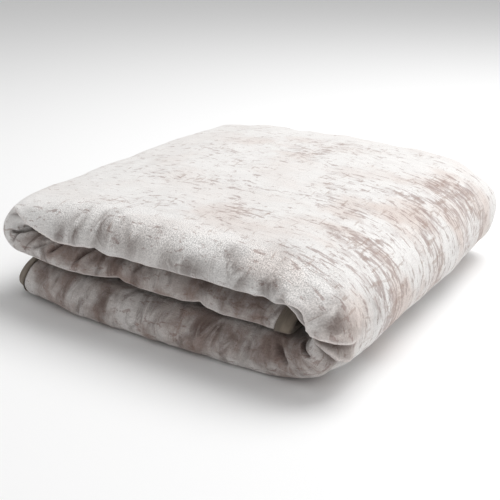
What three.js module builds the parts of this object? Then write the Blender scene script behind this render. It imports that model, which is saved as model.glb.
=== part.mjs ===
// A thick plush throw, folded in three across its depth and then in three along its width, lying flat.
// A woven tape is bound over each of its two cut ends. The two long edges are plain hems of the cloth.
// Millimetres. X runs to the right, Y runs from the front to the back, and Z is up.
import * as THREE from "three";

// The cloth and its folded strip
const CLOTH = 11.4; // thickness with the pile of both faces
const PLY = 15.8; // from the middle of one ply of the strip to the next
const DEEP = 480; // the strip from its front fold to its back fold
const BULGE = 25; // how deep the round front fold is
const HEM_SHORT_OF_FRONT = 27; // the hidden hem stops this far behind the front fold
const HEM_SHORT_OF_BACK = 10; // the other hem stops this far inside the back fold

// The stack of three runs of the strip
const LAYER = 46; // rise from one run to the next
const HALF_STRIP = PLY + CLOTH / 2;
const LOWER_Z = HALF_STRIP;
const MIDDLE_Z = LOWER_Z + LAYER;
const TOP_Z = MIDDLE_Z + LAYER;
const LOWER_END = { x: -213, lift: 4, ease: 110 };
const INNER_END_X = 172;
const RIGHT_TURN = { x: 136, reach: 83, power: 2.5 };
const NOSE = { x: -182, reach: -29, power: 2.3, top: 110.5, bottom: 76, ease: 90 };
const PATH_STEP = 2;
const PATH_EASINGS = 30;

// How the strip is held at places along it. past is a distance beyond the named mark. front and back
// say how far that edge is drawn in. lean slides the outer plies back over the inner ones at the front,
// and slant slides them along the strip. outer and inner say how full the two halves of its thickness are.
const HOLD = [
  { mark: "lowerEnd", past: 0, front: 25, back: 9, lean: -0.25, slant: -0.25, outer: 0.92, inner: 0.95 },
  { mark: "lowerEnd", past: 24, front: 14, back: 3, lean: -0.3, slant: -0.1, outer: 0.97, inner: 0.98 },
  { mark: "lowerEnd", past: 122, front: 4, back: -2, lean: -0.35, slant: 0, outer: 1, inner: 1 },
  { mark: "lowerEnd", past: 232, front: 1, back: 3, lean: -0.3, slant: 0, outer: 1, inner: 0.98 },
  { mark: "turnStart", past: 0, front: 3, back: 0, lean: -0.35, slant: 0, outer: 1, inner: 1 },
  { mark: "turnApex", past: 0, front: 1, back: 3, lean: 0.1, slant: 0, outer: 1, inner: 1 },
  { mark: "turnEnd", past: 20, front: -3, back: 0, lean: 0.5, slant: 0, outer: 1, inner: 1 },
  { mark: "turnEnd", past: 150, front: -2, back: 4, lean: 0.4, slant: 0, outer: 0.98, inner: 1 },
  { mark: "noseStart", past: -70, front: -3, back: 1, lean: 0.5, slant: 0, outer: 1, inner: 0.98 },
  { mark: "noseApex", past: -30, front: 4, back: 0, lean: -0.4, slant: 0, outer: 0.84, inner: 0.66 },
  { mark: "noseApex", past: 14, front: 12, back: 6, lean: -0.8, slant: 0, outer: 0.74, inner: 0.55 },
  { mark: "noseEnd", past: 70, front: 23, back: 10, lean: -0.8, slant: 0, outer: 0.95, inner: 0.97 },
  { mark: "noseEnd", past: 190, front: 27, back: 5, lean: -0.7, slant: 0, outer: 1, inner: 0.97 },
  { mark: "innerEnd", past: -90, front: 25, back: 9, lean: -0.8, slant: 0, outer: 1, inner: 1 },
  { mark: "innerEnd", past: 0, front: 24, back: 4, lean: -0.7, slant: -0.3, outer: 0.9, inner: 0.82 },
];
const LEAN_DEPTH = 90; // the lean fades out this far behind the front
const DRAWN_DEPTH = 170; // an edge's drawing in fades out over this depth

// The settled shape of the whole stack
const CROWN = { rise: 0.045, halfWide: 250, halfDeep: 265 };
const SAG = { drop: 0.087, from: -20, to: 235 }; // the right side sits lower
const FRONT_SKEW = 0.037; // the front edge runs forward towards the right
const RIGHT_SKEW = 0.024; // the right fold runs inwards towards the back
const RIGHT_BELLY = { out: 5, halfDeep: 240, wide: 200 };

// Where the surface is pushed, with the centre and reach of each soft swell or hollow and its shift
const SWELLS = [
  { name: "nose tip out", x: -216, y: -190, z: 95, reach: 70, dx: -3, dy: 0, dz: -2 },
  { name: "right roll out", x: 212, y: -232, z: 40, reach: 36, dx: 3, dy: -8, dz: 0 },
  { name: "right lip over", x: 192, y: -235, z: 84, reach: 40, dx: -5, dy: -5, dz: -7 },
  { name: "mouth drawn in", x: 168, y: -238, z: 22, reach: 46, dx: 0, dy: 6, dz: 0 },
  { name: "nose lip down", x: -172, y: -235, z: 104, reach: 34, dx: 0, dy: -2, dz: -4 },
  { name: "top front hollow", x: -40, y: -150, z: 140, reach: 120, dx: 0, dy: 0, dz: -3 },
  { name: "top back swell", x: 90, y: 120, z: 140, reach: 130, dx: 0, dy: 0, dz: 3 },
  { name: "top left swell", x: -150, y: 90, z: 130, reach: 110, dx: 0, dy: 0, dz: 3 },
  { name: "nose corner eased", x: -216, y: -222, z: 114, reach: 28, dx: 5, dy: 5, dz: -4 },
  { name: "mouth lip out", x: 209, y: -251, z: 68, reach: 20, dx: -3, dy: -3, dz: -2 },
];

// Overlapping rolls: the path of each crisp edge, along from the apex of the right turn and across from
// the start of the front fold. On the lower side of the edge the cloth falls away by depth over a wall
// and comes back over its reach. The edge stands out by lip, and tuck deepens the foot of the wall.
const ROLLS = [
  {
    name: "nose ridge",
    edge: [[301, 41], [356, 40], [378, 39], [398, 34], [419, 27], [435, 20], [446, 12]],
    depth: 7.5, wall: 4, reach: 16, lip: 2, tuck: 2,
  },
  {
    name: "mouth lip",
    edge: [[-4, -5], [-2, 14], [6, 26], [18, 33], [30, 33], [41, 31], [54, 31], [71, 34]],
    depth: 8, wall: 4, reach: 14, lip: 3, tuck: 2.5,
  },
  {
    name: "second roll",
    edge: [[-20, -10], [-17, 8], [-13, 21], [-6, 30], [6, 36], [22, 44]],
    depth: 9, wall: 4, reach: 22, lip: 3, tuck: 2.5,
  },
];
const TUCKED_INSIDE = 0.6; // the inner face follows this share of a fall, so the pile is pressed there
const FALLS_END = { at: 62, over: 16 }; // how far from the front fold's start the falls end
const ROLL_FADES = { first: 0.25, last: 0.2 }; // the shares of a path over which its roll grows and fades

// Places and widths in a roll's cross-section, in widths of its wall
const WALL = { fallStarts: -0.3, edgeAt: -0.9, grooveAt: 0.8, grooveWidth: 0.7 };

// The crisp lower edges of the front folds of the top and the middle run: from where to where along, the
// length across where the edge lies, which way across its underside is, how far it is drawn out and
// down, and its half width
const RIMS = [
  { name: "top run", from: 11, to: 446, across: 40, under: 1, drawn: 3.4, width: 6.5 },
  { name: "middle run", from: 491, to: 866, across: 15, under: -1, drawn: 3, width: 6.5 },
];
const RIM_EASE = 50;
const RIM_WAY = { y: -0.8, z: -0.6 };

// How far those lower edges rise at places along, counted from the apex of the right turn
const RIM_RISE = [
  { along: 22, rise: 0 }, { along: 34, rise: 3 }, { along: 43, rise: 7 }, { along: 59, rise: 6.5 },
  { along: 68, rise: 3 }, { along: 87, rise: 4.5 }, { along: 97, rise: 1 }, { along: 116, rise: 0 },
  { along: 286, rise: 0 }, { along: 305, rise: 4 }, { along: 312, rise: 1 }, { along: 376, rise: 0 },
  { along: 596, rise: 0 }, { along: 633, rise: 6 }, { along: 662, rise: -1.5 }, { along: 692, rise: 0 },
  { along: 718, rise: 0 }, { along: 744, rise: 6 }, { along: 752, rise: 1.5 }, { along: 772, rise: 0 },
];
const RISE_ACROSS = { from: -28, full: -6, held: 12, to: 32 }; // from above each edge to beneath it

// The bound ends
const TAPE = 1.1;
const BAND = 16; // how far the tape reaches over each face
const GAP = 0.9; // between the tape and the cloth, less where the end is pressed thinner
const PINCH = { share: 0.66, long: 26 }; // the cloth is pressed thinner towards its bound ends

// Where the middle of the finished stack's outline lies in the frame of the sizes above
const CENTRE = { x: 8.6, y: -7.7 };

// The longest steps of the surfaces along the strip, from each place on, counted from the right turn's
// apex, and across its section, from the start of each of its parts
const ALONG_STEPS = [
  { from: -1000, step: 34 },
  { from: -112, step: 15 },
  { from: -30, step: 9 },
  { from: 74, step: 16 },
  { from: 112, step: 34 },
  { from: 290, step: 15 },
  { from: 380, step: 8 },
  { from: 424, step: 5.5 },
  { from: 500, step: 16 },
  { from: 560, step: 34 },
];
const ACROSS_STEPS = { plies: 92, nearFront: 26, back: 5, front: 5, lip: 10 };
const LIP_LONG = 20; // the inner ply's first stretch, just under the front fold
const NEAR_FRONT = 78; // the depth of the leaning front, where the plies need closer steps

function smooth(t) {
  const held = Math.min(1, Math.max(0, t));
  return held * held * (3 - 2 * held);
}

function mix(a, b, share) {
  return a + (b - a) * share;
}

// A line of points with the length, direction and marks along it
function measured(points, marks = {}) {
  const lengths = [0];
  for (let i = 1; i < points.length; i++) {
    lengths.push(lengths[i - 1] + points[i].distanceTo(points[i - 1]));
  }
  const tangents = points.map((_, i) => {
    const before = points[Math.max(0, i - 1)];
    const after = points[Math.min(points.length - 1, i + 1)];
    return after.clone().sub(before).normalize();
  });
  const places = {};
  for (const [name, index] of Object.entries(marks)) {
    places[name] = lengths[index];
  }
  return { points, lengths, tangents, places, total: lengths.at(-1) };
}

// The point and the unit normal, to the right of the way along, at one length. Past its ends the line
// runs straight on.
function lineAt(line, length) {
  const { points, lengths, tangents, total } = line;
  const held = Math.min(total, Math.max(0, length));
  let low = 0;
  let high = lengths.length - 1;
  while (high - low > 1) {
    const middle = (low + high) >> 1;
    if (lengths[middle] <= held) low = middle;
    else high = middle;
  }
  const share = (held - lengths[low]) / (lengths[high] - lengths[low]);
  const point = points[low].clone().lerp(points[high], share);
  const tangent = tangents[low].clone().lerp(tangents[high], share).normalize();
  point.addScaledVector(tangent, length - held);
  return { point, normal: new THREE.Vector2(tangent.y, -tangent.x) };
}

// Even steps from one length to another, without the last
function evenSteps(from, to, longest) {
  const count = Math.max(1, Math.round((to - from) / longest));
  return Array.from({ length: count }, (_, i) => mix(from, to, i / count));
}

// Half a turn from one height to another: a superellipse that reaches out sideways
function halfTurn(x, fromZ, toZ, reach, power, steps) {
  const points = [];
  for (let i = 0; i < steps; i++) {
    const angle = -Math.PI / 2 + (Math.PI * i) / steps;
    const c = Math.cos(angle);
    const s = Math.sin(angle);
    const round = (Math.abs(c) ** power + Math.abs(s) ** power) ** (-1 / power);
    const z = (fromZ + toZ) / 2 + ((toZ - fromZ) / 2) * s * round;
    points.push(new THREE.Vector2(x + reach * c * round, z));
  }
  return points;
}

function straight(fromX, fromY, toX, toY) {
  const count = Math.round(Math.abs(toX - fromX) / PATH_STEP);
  const points = [];
  for (let i = 0; i < count; i++) {
    points.push(new THREE.Vector2(mix(fromX, toX, i / count), mix(fromY, toY, i / count)));
  }
  return points;
}

// The strip's middle line in X and Z: the lower run, the right turn, the top run, the nose on the left
// and the middle run, which ends inside the right turn
function stripLine() {
  const easedX = NOSE.x + NOSE.ease;
  const runs = [
    straight(LOWER_END.x, LOWER_Z + LOWER_END.lift, LOWER_END.x + LOWER_END.ease, LOWER_Z),
    straight(LOWER_END.x + LOWER_END.ease, LOWER_Z, RIGHT_TURN.x, LOWER_Z),
    halfTurn(RIGHT_TURN.x, LOWER_Z, TOP_Z, RIGHT_TURN.reach, RIGHT_TURN.power, 120),
    straight(RIGHT_TURN.x, TOP_Z, easedX, TOP_Z),
    straight(easedX, TOP_Z, NOSE.x, NOSE.top),
    halfTurn(NOSE.x, NOSE.top, NOSE.bottom, NOSE.reach, NOSE.power, 60),
    straight(NOSE.x, NOSE.bottom, easedX, MIDDLE_Z),
    straight(easedX, MIDDLE_Z, INNER_END_X, MIDDLE_Z),
    [new THREE.Vector2(INNER_END_X, MIDDLE_Z)],
  ];
  const starts = runs.map((_, i) => runs.slice(0, i).flat().length);
  let points = runs.flat();
  for (let pass = 0; pass < PATH_EASINGS; pass++) {
    const eased = points.map((point, i) => {
      if (i === 0 || i === points.length - 1) return point.clone();
      return point.clone().multiplyScalar(2).add(points[i - 1]).add(points[i + 1]).divideScalar(4);
    });
    points = eased;
  }
  const widest = points.reduce((best, point, i) => (point.x > points[best].x ? i : best), 0);
  const nose = points.slice(starts[5], starts[6]);
  const leftmost = nose.reduce((best, point, i) => (point.x < nose[best].x ? i : best), 0);
  return measured(points, {
    lowerEnd: 0,
    turnStart: starts[2],
    turnApex: widest,
    turnEnd: starts[3],
    noseStart: starts[5],
    noseApex: starts[5] + leftmost,
    noseEnd: starts[6],
    innerEnd: points.length - 1,
  });
}

// The cloth's middle line in the strip's own section, with Y as x and the height above the strip's
// middle as y: the hidden ply, the back fold, the outer ply, the front fold and the inner ply
function sectionLine() {
  const frontY = -DEEP / 2 + BULGE;
  const backY = DEEP / 2 - HALF_STRIP / 2 - CLOTH / 4;
  const hiddenHemY = -DEEP / 2 + CLOTH + HEM_SHORT_OF_FRONT - CLOTH / 2;
  const innerHemY = DEEP / 2 - HEM_SHORT_OF_BACK;
  const parts = [
    straight(hiddenHemY, 0, backY, 0),
    halfTurn(backY, 0, PLY, PLY / 2, 2, 40),
    straight(backY, PLY, frontY, PLY),
    halfTurn(frontY, PLY, -PLY, -(BULGE - CLOTH / 2), 2, 60),
    straight(frontY, -PLY, innerHemY, -PLY),
    [new THREE.Vector2(innerHemY, -PLY)],
  ];
  const [hidden, back, outer, front, inner] = parts.map((_, i) => parts.slice(0, i).flat().length);
  return measured(parts.flat(), { hidden, back, outer, front, inner });
}

// The row of HOLD that holds at a length along the strip, eased between neighbours
function holdAt(strip, length) {
  const places = HOLD.map((row) => strip.places[row.mark] + row.past);
  if (length <= places[0]) return HOLD[0];
  if (length >= places.at(-1)) return HOLD.at(-1);
  const after = places.findIndex((place) => place > length);
  const share = smooth((length - places[after - 1]) / (places[after] - places[after - 1]));
  const held = {};
  for (const name of ["front", "back", "lean", "slant", "outer", "inner"]) {
    held[name] = mix(HOLD[after - 1][name], HOLD[after][name], share);
  }
  return held;
}

// The settled shape of the stack as a whole: crown, sag, skewed edges and soft swells
function settle(point) {
  let { x, y, z } = point;
  z *= 1 - SAG.drop * smooth((x - SAG.from) / (SAG.to - SAG.from));
  z *= 1 + CROWN.rise * (1 - (x / CROWN.halfWide) ** 2) * (1 - (y / CROWN.halfDeep) ** 2);
  const right = smooth(x / RIGHT_BELLY.wide);
  const belly = RIGHT_BELLY.out * (1 - (y / RIGHT_BELLY.halfDeep) ** 2);
  const slid = y - FRONT_SKEW * x * smooth(-y / (DEEP / 2));
  x += right * (belly - RIGHT_SKEW * y);
  y = slid;
  const settled = new THREE.Vector3(x, y, z);
  for (const swell of SWELLS) {
    const away = Math.hypot(x - swell.x, y - swell.y, z - swell.z) / swell.reach;
    const share = Math.exp(-away * away) * smooth(z / 12);
    settled.x += swell.dx * share;
    settled.y += swell.dy * share;
    settled.z += swell.dz * share;
  }
  return settled;
}

const strip = stripLine();
const section = sectionLine();

// A point of the plainly folded cloth: its length along the strip, its length across the strip's
// section, and its distance from the cloth's middle, out of the face that shows
function foldedPoint(along, across, out) {
  const ply = lineAt(section, across);
  const hold = holdAt(strip, along);
  const fromEnd = Math.min(along, strip.total - along);
  const held = out * mix(PINCH.share, 1, smooth(fromEnd / PINCH.long));
  const y = ply.point.x + ply.normal.x * held;
  let n = ply.point.y + ply.normal.y * held;
  n *= n > 0 ? hold.outer : hold.inner;
  const place = lineAt(strip, along + hold.slant * n);
  const atFront = smooth((-DEEP / 2 + DRAWN_DEPTH - y) / DRAWN_DEPTH);
  const atBack = smooth((y - DEEP / 2 + DRAWN_DEPTH) / DRAWN_DEPTH);
  const leaning = hold.lean * n * smooth((-DEEP / 2 + LEAN_DEPTH - y) / LEAN_DEPTH);
  return settle(
    new THREE.Vector3(
      place.point.x + place.normal.x * n,
      y + hold.front * atFront - hold.back * atBack + leaning,
      place.point.y + place.normal.y * n,
    ),
  );
}

// The signed distance from a path on the flat cloth, above zero to the left of its way, and the share
// of the path's length at the nearest place
function fromPath(path, along, across) {
  const lengths = path.slice(1).map((end, i) => Math.hypot(end[0] - path[i][0], end[1] - path[i][1]));
  const total = lengths.reduce((sum, length) => sum + length, 0);
  let best = { away: Infinity, side: 1, share: 0 };
  let passed = 0;
  lengths.forEach((length, i) => {
    const way = [(path[i + 1][0] - path[i][0]) / length, (path[i + 1][1] - path[i][1]) / length];
    const offset = [along - path[i][0], across - path[i][1]];
    const reached = Math.min(length, Math.max(0, offset[0] * way[0] + offset[1] * way[1]));
    const away = Math.hypot(offset[0] - reached * way[0], offset[1] - reached * way[1]);
    if (away < best.away) {
      const side = Math.sign(way[0] * offset[1] - way[1] * offset[0]);
      best = { away, side, share: (passed + reached) / total };
    }
    passed += length;
  });
  return best;
}

function bell(offset, width) {
  return Math.exp(-((offset / width) ** 2));
}

// How far the rolls' edges and falls take the cloth's face out of its plainly folded shape. Where falls
// meet, the deepest holds, and they fade out towards the inner ply.
function relief(fromApex, fromFold) {
  let edges = 0;
  let deepest = 0;
  for (const roll of ROLLS) {
    const { away, side, share } = fromPath(roll.edge, fromApex, fromFold);
    const tapered = smooth(share / ROLL_FADES.first) * smooth((1 - share) / ROLL_FADES.last);
    const below = away * side;
    const fall = smooth(below / roll.wall - WALL.fallStarts) * bell(Math.max(below, 0), roll.reach);
    const edge = bell(below / roll.wall - WALL.edgeAt, 1);
    const groove = bell(below / roll.wall - WALL.grooveAt, WALL.grooveWidth);
    edges += tapered * roll.lip * edge;
    deepest = Math.max(deepest, tapered * (roll.depth * fall + roll.tuck * groove));
  }
  return edges - deepest * smooth((FALLS_END.at - fromFold) / FALLS_END.over);
}

// How far the lower edge rises at a place along
function riseAt(fromApex) {
  const after = RIM_RISE.findIndex((row) => row.along > fromApex);
  if (after < 1) return 0;
  const [low, high] = [RIM_RISE[after - 1], RIM_RISE[after]];
  return mix(low.rise, high.rise, (fromApex - low.along) / (high.along - low.along));
}

// How the crisp lower edges of the front folds shift the cloth's face
function rimShift(fromApex, fromFold) {
  const shift = new THREE.Vector3();
  for (const rim of RIMS) {
    if (fromApex < rim.from || fromApex > rim.to) continue;
    const within = smooth((fromApex - rim.from) / RIM_EASE) * smooth((rim.to - fromApex) / RIM_EASE);
    const beneath = (fromFold - rim.across) * rim.under;
    const drawn = rim.drawn * within * bell(beneath, rim.width);
    const { from, full, held, to } = RISE_ACROSS;
    const risen = smooth((beneath - from) / (full - from)) * smooth((to - beneath) / (to - held));
    shift.y += drawn * RIM_WAY.y;
    shift.z += drawn * RIM_WAY.z + riseAt(fromApex) * risen;
  }
  return shift;
}

// A point of the cloth with its rolls and its crisp, uneven lower edges, which keeps off the floor
function clothPoint(along, across, out) {
  const fromApex = along - strip.places.turnApex;
  const fromFold = across - section.places.front;
  const around = (du, dv) => foldedPoint(along + du, across + dv, CLOTH / 2);
  const normal = around(0.5, 0).sub(around(-0.5, 0)).cross(around(0, 0.5).sub(around(0, -0.5))).normalize();
  const height = relief(fromApex, fromFold);
  const shift = normal.multiplyScalar(height).add(rimShift(fromApex, fromFold));
  if (out < 0 && height < 0) shift.multiplyScalar(TUCKED_INSIDE);
  const point = foldedPoint(along, across, out).add(shift);
  point.z = Math.max(point.z, 0);
  return point;
}

function geometryOf(points, triangles) {
  const geometry = new THREE.BufferGeometry();
  const positions = points.flatMap((point) => [point.x - CENTRE.x, point.y - CENTRE.y, point.z]);
  geometry.setAttribute("position", new THREE.Float32BufferAttribute(positions, 3));
  geometry.setIndex(triangles);
  geometry.computeVertexNormals();
  return geometry;
}

// A closed skin swept over rings of equal size, with the first and last ring capped. A ring's points go
// out along one side of a thin profile and back along the other, so a cap pairs them from its two ends.
function sweptSkin(rings) {
  const size = rings[0].length;
  const triangles = [];
  for (let r = 0; r + 1 < rings.length; r++) {
    for (let k = 0; k < size; k++) {
      const next = (k + 1) % size;
      const a = r * size + k;
      const b = r * size + next;
      triangles.push(a, b + size, b, a, a + size, b + size);
    }
  }
  const last = (rings.length - 1) * size;
  for (let k = 0; k + 1 < size / 2; k++) {
    const far = size - 1 - k;
    triangles.push(k, far - 1, far, k, k + 1, far - 1);
    triangles.push(last + k, last + far, last + far - 1, last + k, last + far - 1, last + k + 1);
  }
  return geometryOf(rings.flat(), triangles);
}

// Lengths along the strip where the cloth has a ring, with one at the inner edge of each binding
function clothStations() {
  const apex = strip.places.turnApex;
  const inside = ALONG_STEPS.flatMap((row, i) => {
    const from = Math.max(apex + row.from, BAND);
    const next = i + 1 < ALONG_STEPS.length ? apex + ALONG_STEPS[i + 1].from : strip.total - BAND;
    return evenSteps(from, next, row.step);
  });
  return [0, ...inside, strip.total - BAND, strip.total];
}

// Lengths across the section where each ring has its points
function sectionStations() {
  const { hidden, back, outer, front, inner } = section.places;
  const { plies, nearFront, back: backFold, front: frontFold, lip } = ACROSS_STEPS;
  return [
    ...evenSteps(hidden, hidden + NEAR_FRONT / 2, nearFront),
    ...evenSteps(hidden + NEAR_FRONT / 2, back, plies),
    ...evenSteps(back, outer, backFold),
    ...evenSteps(outer, front - NEAR_FRONT, plies),
    ...evenSteps(front - NEAR_FRONT, front, nearFront),
    ...evenSteps(front, inner, frontFold),
    ...evenSteps(inner, inner + LIP_LONG, lip),
    ...evenSteps(inner + LIP_LONG, inner + NEAR_FRONT, nearFront),
    ...evenSteps(inner + NEAR_FRONT, section.total, plies),
    section.total,
  ];
}

const across = sectionStations();

function blanket() {
  const rings = clothStations().map((along) => [
    ...across.map((length) => clothPoint(along, length, CLOTH / 2)),
    ...across.toReversed().map((length) => clothPoint(along, length, -CLOTH / 2)),
  ]);
  return sweptSkin(rings);
}

// The tape over one cut end: a thin U over the cloth's edge, along the whole of it. inwards is 1 where
// the strip begins and -1 where it ends.
function binding(end, inwards) {
  const face = CLOTH / 2 + GAP;
  const outside = [BAND, 0, -GAP - TAPE].map((along) => ({ along, out: face + TAPE }));
  const inside = [BAND, 0, -GAP].map((along) => ({ along, out: -face }));
  const back = (side) => side.toReversed().map(({ along, out }) => ({ along, out: -out }));
  const profile = [...outside, ...back(outside), ...inside, ...back(inside)];
  const ordered = inwards > 0 ? profile : profile.toReversed();
  const rings = across.map((length) =>
    ordered.map((corner) => clothPoint(end + inwards * corner.along, length, corner.out)),
  );
  return sweptSkin(rings);
}

const plush = new THREE.MeshStandardMaterial({ color: 0xd9d3cf, roughness: 0.95, metalness: 0 });
const tape = new THREE.MeshStandardMaterial({ color: 0x8f8376, roughness: 0.9, metalness: 0 });

function piece(name, geometry, material) {
  const mesh = new THREE.Mesh(geometry, material);
  mesh.name = name;
  return mesh;
}

const throwBlanket = new THREE.Group();
throwBlanket.add(piece("blanket", blanket(), plush));
throwBlanket.add(piece("binding_lower_end", binding(0, 1), tape));
throwBlanket.add(piece("binding_inner_end", binding(strip.total, -1), tape));

export default throwBlanket;
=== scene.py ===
# A thick plush throw, folded in three both ways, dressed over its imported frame: the cloth with its
# folds, creases, nap and print, the tapes over its two cut ends with their stitching, and a pale floor,
# soft light and a camera. Sizes are in millimetres until a mesh is made, which is in metres.
import math
import bpy
import numpy as np
from mathutils import Matrix, Vector


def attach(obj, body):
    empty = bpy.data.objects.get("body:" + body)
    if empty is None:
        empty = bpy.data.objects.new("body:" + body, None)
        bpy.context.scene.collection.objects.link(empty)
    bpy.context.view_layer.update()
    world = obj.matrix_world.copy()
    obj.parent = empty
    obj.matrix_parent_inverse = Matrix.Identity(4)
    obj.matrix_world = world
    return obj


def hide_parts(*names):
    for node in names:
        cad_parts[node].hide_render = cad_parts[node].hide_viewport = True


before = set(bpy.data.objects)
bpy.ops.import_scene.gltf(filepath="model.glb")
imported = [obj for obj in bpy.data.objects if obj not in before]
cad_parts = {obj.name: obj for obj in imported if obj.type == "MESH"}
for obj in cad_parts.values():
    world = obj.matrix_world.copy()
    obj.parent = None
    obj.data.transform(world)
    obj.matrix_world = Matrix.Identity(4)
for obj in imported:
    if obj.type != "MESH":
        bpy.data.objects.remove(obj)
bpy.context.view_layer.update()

# The cloth and its folded strip
CLOTH = 11.4
PLY = 15.8
DEEP = 480
BULGE = 25
HEM_SHORT_OF_FRONT = 27
HEM_SHORT_OF_BACK = 10

# The stack of three runs of the strip
LAYER = 46
HALF_STRIP = PLY + CLOTH / 2
LOWER_Z = HALF_STRIP
MIDDLE_Z = LOWER_Z + LAYER
TOP_Z = MIDDLE_Z + LAYER
LOWER_END = {"x": -213, "lift": 4, "ease": 110}
INNER_END_X = 172
RIGHT_TURN = {"x": 136, "reach": 83, "power": 2.5}
NOSE = {"x": -182, "reach": -29, "power": 2.3, "top": 110.5, "bottom": 76, "ease": 90}
PATH_STEP = 2
PATH_EASINGS = 30

# How the strip is held at places along it: a mark and a distance past it, how far the front and back
# edges are drawn in, the lean and slant of the outer plies over the inner ones, and how full the two
# halves of the thickness are
HOLD_COLUMNS = ("front", "back", "lean", "slant", "outer", "inner")
HOLD = [
    ("lowerEnd", 0, 25, 9, -0.25, -0.25, 0.92, 0.95),
    ("lowerEnd", 24, 14, 3, -0.3, -0.1, 0.97, 0.98),
    ("lowerEnd", 122, 4, -2, -0.35, 0, 1, 1),
    ("lowerEnd", 232, 1, 3, -0.3, 0, 1, 0.98),
    ("turnStart", 0, 3, 0, -0.35, 0, 1, 1),
    ("turnApex", 0, 1, 3, 0.1, 0, 1, 1),
    ("turnEnd", 20, -3, 0, 0.5, 0, 1, 1),
    ("turnEnd", 150, -2, 4, 0.4, 0, 0.98, 1),
    ("noseStart", -70, -3, 1, 0.5, 0, 1, 0.98),
    ("noseApex", -30, 4, 0, -0.4, 0, 0.84, 0.66),
    ("noseApex", 14, 12, 6, -0.8, 0, 0.74, 0.55),
    ("noseEnd", 70, 23, 10, -0.8, 0, 0.95, 0.97),
    ("noseEnd", 190, 27, 5, -0.7, 0, 1, 0.97),
    ("innerEnd", -90, 25, 9, -0.8, 0, 1, 1),
    ("innerEnd", 0, 24, 4, -0.7, -0.3, 0.9, 0.82),
]
LEAN_DEPTH = 90
DRAWN_DEPTH = 170

# The settled shape of the whole stack
CROWN = {"rise": 0.045, "half_wide": 250, "half_deep": 265}
SAG = {"drop": 0.087, "from": -20, "to": 235}
FRONT_SKEW = 0.037
RIGHT_SKEW = 0.024
RIGHT_BELLY = {"out": 5, "half_deep": 240, "wide": 200}

# Soft swells and hollows: the centre, the reach and the shift
SWELLS = [
    ((-216, -190, 95), 70, (-3, 0, -2)),
    ((212, -232, 40), 36, (3, -8, 0)),
    ((192, -235, 84), 40, (-5, -5, -7)),
    ((168, -238, 22), 46, (0, 6, 0)),
    ((-172, -235, 104), 34, (0, -2, -4)),
    ((-40, -150, 140), 120, (0, 0, -3)),
    ((90, 120, 140), 130, (0, 0, 3)),
    ((-150, 90, 130), 110, (0, 0, 3)),
    ((-216, -222, 114), 28, (5, 5, -4)),
    ((209, -251, 68), 20, (-3, -3, -2)),
]

# The bound ends
TAPE = 1.1
BAND = 16
GAP = 0.9
PINCH = {"share": 0.66, "long": 26}  # the cloth is pressed thinner towards its bound ends

CENTRE = (8.6, -7.7)  # the middle of the settled stack's outline, before it is moved to the row's origin
MM = 0.001

# Steps of the cloth's outer face: the place past the right turn's apex where each stretch begins, with
# its step, and the stretches across the section
ALONG_STEPS = [
    (-1000, 6), (-130, 3), (-45, 1.5), (90, 3.5), (290, 2.5), (380, 1.6), (500, 2.2), (610, 4),
]
ACROSS_STEPS = {"hidden": 30, "back": 2.5, "edge": 5, "outer": 13, "front": 1.35, "lip": 2.5, "inner": 30}
EDGE_LONG = {"back": 40, "front": 60, "lip": 32}
COARSE_EVERY = 4  # the inner face has every fourth of its rings


def smooth(t):
    """From 0 to 1 as t goes from 0 to 1, level at both ends."""
    held = np.clip(t, 0, 1)
    return held * held * (3 - 2 * held)


class Line:
    """A line of points in a plane with the length and direction along it."""

    def __init__(self, points):
        self.points = np.array(points, float)
        steps = np.linalg.norm(np.diff(self.points, axis=0), axis=1)
        self.lengths = np.concatenate([[0], np.cumsum(steps)])
        self.total = self.lengths[-1]
        after = np.vstack([self.points[1:], self.points[-1:]])
        before = np.vstack([self.points[:1], self.points[:-1]])
        ways = after - before
        self.ways = ways / np.linalg.norm(ways, axis=1)[:, None]

    def at(self, length):
        """Points and unit normals, which are to the right of the way along. Past its ends the line runs
        straight on."""
        held = np.clip(length, 0, self.total)
        point = np.stack([np.interp(held, self.lengths, self.points[:, i]) for i in (0, 1)], -1)
        way = np.stack([np.interp(held, self.lengths, self.ways[:, i]) for i in (0, 1)], -1)
        way /= np.linalg.norm(way, axis=-1, keepdims=True)
        point = point + way * (length - held)[..., None]
        return point, np.stack([way[..., 1], -way[..., 0]], -1)


def half_turn(x, from_z, to_z, reach, power, steps):
    """Half a rounded turn from one height to another, which reaches out of x. Power 2 is an ellipse."""
    angle = -math.pi / 2 + math.pi * np.arange(steps) / steps
    c, s = np.cos(angle), np.sin(angle)
    rounding = (abs(c) ** power + abs(s) ** power) ** (-1 / power)
    middle, half_high = (from_z + to_z) / 2, (to_z - from_z) / 2
    return np.stack([x + reach * c * rounding, middle + half_high * s * rounding], 1)


def straight(start, end):
    """Points from start up to, and not with, the end."""
    steps = round(abs(end[0] - start[0]) / PATH_STEP)
    share = np.arange(steps) / steps
    return np.array(start, float) + share[:, None] * (np.array(end, float) - np.array(start, float))


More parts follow.
